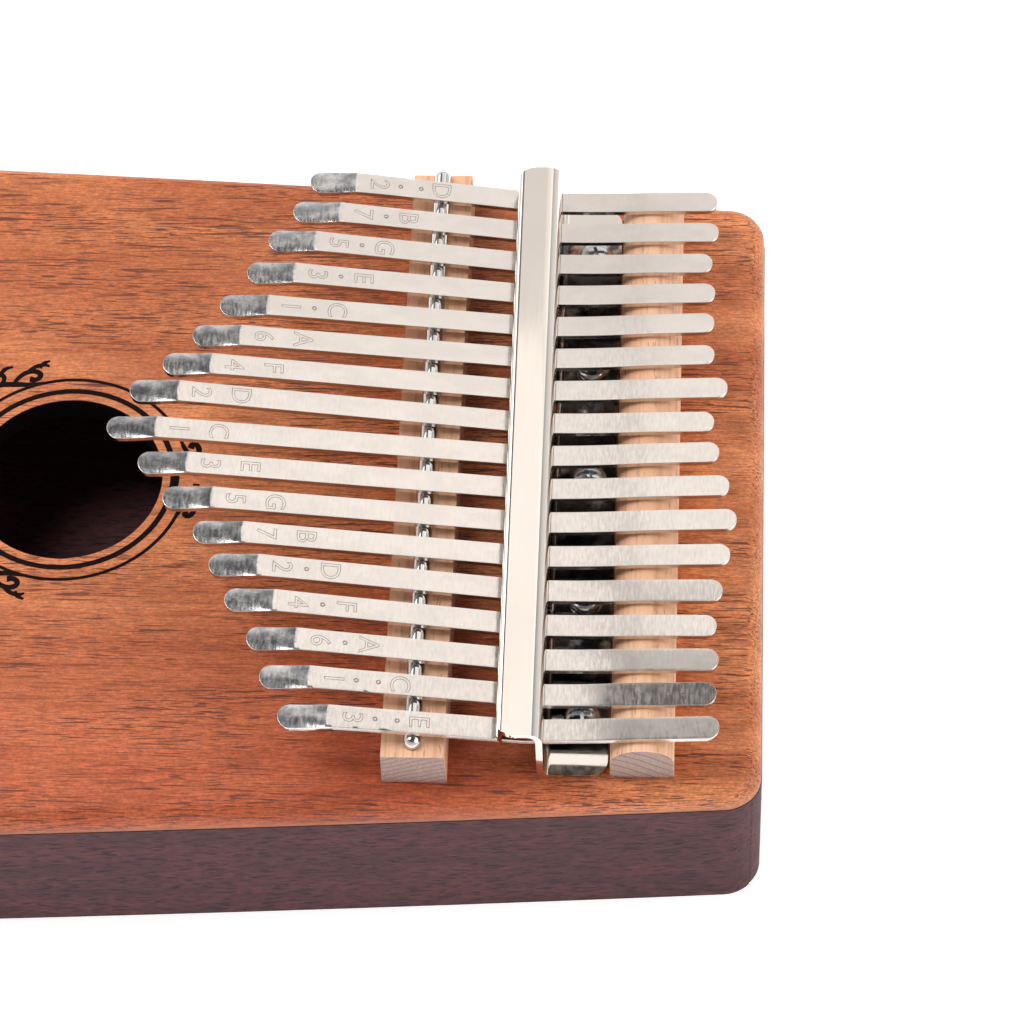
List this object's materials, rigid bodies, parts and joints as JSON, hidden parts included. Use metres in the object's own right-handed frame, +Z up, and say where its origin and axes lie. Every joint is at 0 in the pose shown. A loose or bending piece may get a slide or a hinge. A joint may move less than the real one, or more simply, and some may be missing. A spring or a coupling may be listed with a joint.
{
  "type": "mbira",
  "caption": "Hollow tapered wooden box with a sound hole, two bridges and a screwed pressure bracket that clamps a row of flat steel tines plucked by the thumbs.",
  "frame": {"origin": "centre of the case's bottom face, on the surface it lies on", "axes": "+Z up out of the soundboard, +X along the tines towards their clamped tails, +Y to the far side from the player's view"},
  "size_m": [0.185, 0.152, 0.0533],
  "materials": {
    "soundboard": "satin open-pored reddish mahogany",
    "case_wood": "matte purplish-brown walnut",
    "bridge_wood": "bare sanded pale maple",
    "block_wood": "bare sawn softwood",
    "polished_rod": "mirror polished",
    "bracket_plate": "bright plated sheet",
    "screw_steel": "zinc plated",
    "tine_steel": "satin nickel-plated spring steel"
  },
  "bodies": {
    "case": {"top_board": "soundboard", "side_board_near": "case_wood", "side_board_far": "case_wood", "end_board_keys": "case_wood", "end_board_hole": "case_wood", "back_board": "case_wood", "anchor_block": "block_wood", "front_bridge": "bridge_wood", "rear_bridge": "bridge_wood", "bridge_rod": "polished_rod", "bracket": "bracket_plate", "bracket_screw_1": "screw_steel", "bracket_screw_2": "screw_steel", "bracket_screw_3": "screw_steel", "bracket_screw_4": "screw_steel", "bracket_screw_5": "screw_steel"},
    "tine_01_clamped": {"tine_01_tail": "tine_steel"},
    "tine_01_playing": {"tine_01_key": "tine_steel"},
    "tine_02_clamped": {"tine_02_tail": "tine_steel"},
    "tine_02_playing": {"tine_02_key": "tine_steel"},
    "tine_03_clamped": {"tine_03_tail": "tine_steel"},
    "tine_03_playing": {"tine_03_key": "tine_steel"},
    "tine_04_clamped": {"tine_04_tail": "tine_steel"},
    "tine_04_playing": {"tine_04_key": "tine_steel"},
    "tine_05_clamped": {"tine_05_tail": "tine_steel"},
    "tine_05_playing": {"tine_05_key": "tine_steel"},
    "tine_06_clamped": {"tine_06_tail": "tine_steel"},
    "tine_06_playing": {"tine_06_key": "tine_steel"},
    "tine_07_clamped": {"tine_07_tail": "tine_steel"},
    "tine_07_playing": {"tine_07_key": "tine_steel"},
    "tine_08_clamped": {"tine_08_tail": "tine_steel"},
    "tine_08_playing": {"tine_08_key": "tine_steel"},
    "tine_09_clamped": {"tine_09_tail": "tine_steel"},
    "tine_09_playing": {"tine_09_key": "tine_steel"},
    "tine_10_clamped": {"tine_10_tail": "tine_steel"},
    "tine_10_playing": {"tine_10_key": "tine_steel"},
    "tine_11_clamped": {"tine_11_tail": "tine_steel"},
    "tine_11_playing": {"tine_11_key": "tine_steel"},
    "tine_12_clamped": {"tine_12_tail": "tine_steel"},
    "tine_12_playing": {"tine_12_key": "tine_steel"},
    "tine_13_clamped": {"tine_13_tail": "tine_steel"},
    "tine_13_playing": {"tine_13_key": "tine_steel"},
    "tine_14_clamped": {"tine_14_tail": "tine_steel"},
    "tine_14_playing": {"tine_14_key": "tine_steel"},
    "tine_15_clamped": {"tine_15_tail": "tine_steel"},
    "tine_15_playing": {"tine_15_key": "tine_steel"},
    "tine_16_clamped": {"tine_16_tail": "tine_steel"},
    "tine_16_playing": {"tine_16_key": "tine_steel"},
    "tine_17_clamped": {"tine_17_tail": "tine_steel"},
    "tine_17_playing": {"tine_17_key": "tine_steel"}
  },
  "joints": [
    {"name": "tine_01_tune", "type": "slide", "parent": "case", "child": "tine_01_clamped", "axis": [0.9917, 0, -0.1289], "range_m": [-0.002, 0.002]},
    {"name": "tine_01_pluck", "type": "hinge", "parent": "tine_01_clamped", "child": "tine_01_playing", "pos_m": [0.0305, 0.0592, 0.0463], "axis": [0, -1, 0], "range_deg": [-2.5, 3], "stiffness_Nm_per_rad": 9},
    {"name": "tine_02_tune", "type": "slide", "parent": "case", "child": "tine_02_clamped", "axis": [0.9917, 0, -0.1289], "range_m": [-0.002, 0.002]},
    {"name": "tine_02_pluck", "type": "hinge", "parent": "tine_02_clamped", "child": "tine_02_playing", "pos_m": [0.0305, 0.0518, 0.0463], "axis": [0, -1, 0], "range_deg": [-2.5, 3], "stiffness_Nm_per_rad": 8.09},
    {"name": "tine_03_tune", "type": "slide", "parent": "case", "child": "tine_03_clamped", "axis": [0.9917, 0, -0.1289], "range_m": [-0.002, 0.002]},
    {"name": "tine_03_pluck", "type": "hinge", "parent": "tine_03_clamped", "child": "tine_03_playing", "pos_m": [0.0305, 0.0444, 0.0463], "axis": [0, -1, 0], "range_deg": [-2.5, 3], "stiffness_Nm_per_rad": 7.03},
    {"name": "tine_04_tune", "type": "slide", "parent": "case", "child": "tine_04_clamped", "axis": [0.9917, 0, -0.1289], "range_m": [-0.002, 0.002]},
    {"name": "tine_04_pluck", "type": "hinge", "parent": "tine_04_clamped", "child": "tine_04_playing", "pos_m": [0.0305, 0.037, 0.0463], "axis": [0, -1, 0], "range_deg": [-2.5, 3], "stiffness_Nm_per_rad": 6.34},
    {"name": "tine_05_tune", "type": "slide", "parent": "case", "child": "tine_05_clamped", "axis": [0.9917, 0, -0.1289], "range_m": [-0.002, 0.002]},
    {"name": "tine_05_pluck", "type": "hinge", "parent": "tine_05_clamped", "child": "tine_05_playing", "pos_m": [0.0305, 0.0296, 0.0463], "axis": [0, -1, 0], "range_deg": [-2.5, 3], "stiffness_Nm_per_rad": 5.62},
    {"name": "tine_06_tune", "type": "slide", "parent": "case", "child": "tine_06_clamped", "axis": [0.9917, 0, -0.1289], "range_m": [-0.002, 0.002]},
    {"name": "tine_06_pluck", "type": "hinge", "parent": "tine_06_clamped", "child": "tine_06_playing", "pos_m": [0.0305, 0.0222, 0.0463], "axis": [0, -1, 0], "range_deg": [-2.5, 3], "stiffness_Nm_per_rad": 5.06},
    {"name": "tine_07_tune", "type": "slide", "parent": "case", "child": "tine_07_clamped", "axis": [0.9917, 0, -0.1289], "range_m": [-0.002, 0.002]},
    {"name": "tine_07_pluck", "type": "hinge", "parent": "tine_07_clamped", "child": "tine_07_playing", "pos_m": [0.0305, 0.0148, 0.0463], "axis": [0, -1, 0], "range_deg": [-2.5, 3], "stiffness_Nm_per_rad": 4.55},
    {"name": "tine_08_tune", "type": "slide", "parent": "case", "child": "tine_08_clamped", "axis": [0.9917, 0, -0.1289], "range_m": [-0.002, 0.002]},
    {"name": "tine_08_pluck", "type": "hinge", "parent": "tine_08_clamped", "child": "tine_08_playing", "pos_m": [0.0305, 0.0074, 0.0463], "axis": [0, -1, 0], "range_deg": [-2.5, 3], "stiffness_Nm_per_rad": 4.09},
    {"name": "tine_09_tune", "type": "slide", "parent": "case", "child": "tine_09_clamped", "axis": [0.9917, 0, -0.1289], "range_m": [-0.002, 0.002]},
    {"name": "tine_09_pluck", "type": "hinge", "parent": "tine_09_clamped", "child": "tine_09_playing", "pos_m": [0.0305, 0, 0.0463], "axis": [0, -1, 0], "range_deg": [-2.5, 3], "stiffness_Nm_per_rad": 3.85},
    {"name": "tine_10_tune", "type": "slide", "parent": "case", "child": "tine_10_clamped", "axis": [0.9917, 0, -0.1289], "range_m": [-0.002, 0.002]},
    {"name": "tine_10_pluck", "type": "hinge", "parent": "tine_10_clamped", "child": "tine_10_playing", "pos_m": [0.0305, -0.0074, 0.0463], "axis": [0, -1, 0], "range_deg": [-2.5, 3], "stiffness_Nm_per_rad": 4.3},
    {"name": "tine_11_tune", "type": "slide", "parent": "case", "child": "tine_11_clamped", "axis": [0.9917, 0, -0.1289], "range_m": [-0.002, 0.002]},
    {"name": "tine_11_pluck", "type": "hinge", "parent": "tine_11_clamped", "child": "tine_11_playing", "pos_m": [0.0305, -0.0148, 0.0463], "axis": [0, -1, 0], "range_deg": [-2.5, 3], "stiffness_Nm_per_rad": 4.76},
    {"name": "tine_12_tune", "type": "slide", "parent": "case", "child": "tine_12_clamped", "axis": [0.9917, 0, -0.1289], "range_m": [-0.002, 0.002]},
    {"name": "tine_12_pluck", "type": "hinge", "parent": "tine_12_clamped", "child": "tine_12_playing", "pos_m": [0.0305, -0.0222, 0.0463], "axis": [0, -1, 0], "range_deg": [-2.5, 3], "stiffness_Nm_per_rad": 5.45},
    {"name": "tine_13_tune", "type": "slide", "parent": "case", "child": "tine_13_clamped", "axis": [0.9917, 0, -0.1289], "range_m": [-0.002, 0.002]},
    {"name": "tine_13_pluck", "type": "hinge", "parent": "tine_13_clamped", "child": "tine_13_playing", "pos_m": [0.0305, -0.0296, 0.0463], "axis": [0, -1, 0], "range_deg": [-2.5, 3], "stiffness_Nm_per_rad": 5.92},
    {"name": "tine_14_tune", "type": "slide", "parent": "case", "child": "tine_14_clamped", "axis": [0.9917, 0, -0.1289], "range_m": [-0.002, 0.002]},
    {"name": "tine_14_pluck", "type": "hinge", "parent": "tine_14_clamped", "child": "tine_14_playing", "pos_m": [0.0305, -0.037, 0.0463], "axis": [0, -1, 0], "range_deg": [-2.5, 3], "stiffness_Nm_per_rad": 6.48},
    {"name": "tine_15_tune", "type": "slide", "parent": "case", "child": "tine_15_clamped", "axis": [0.9917, 0, -0.1289], "range_m": [-0.002, 0.002]},
    {"name": "tine_15_pluck", "type": "hinge", "parent": "tine_15_clamped", "child": "tine_15_playing", "pos_m": [0.0305, -0.0444, 0.0463], "axis": [0, -1, 0], "range_deg": [-2.5, 3], "stiffness_Nm_per_rad": 7.43},
    {"name": "tine_16_tune", "type": "slide", "parent": "case", "child": "tine_16_clamped", "axis": [0.9917, 0, -0.1289], "range_m": [-0.002, 0.002]},
    {"name": "tine_16_pluck", "type": "hinge", "parent": "tine_16_clamped", "child": "tine_16_playing", "pos_m": [0.0305, -0.0518, 0.0463], "axis": [0, -1, 0], "range_deg": [-2.5, 3], "stiffness_Nm_per_rad": 8.18},
    {"name": "tine_17_tune", "type": "slide", "parent": "case", "child": "tine_17_clamped", "axis": [0.9917, 0, -0.1289], "range_m": [-0.002, 0.002]},
    {"name": "tine_17_pluck", "type": "hinge", "parent": "tine_17_clamped", "child": "tine_17_playing", "pos_m": [0.0305, -0.0592, 0.0463], "axis": [0, -1, 0], "range_deg": [-2.5, 3], "stiffness_Nm_per_rad": 9.45}
  ]
}
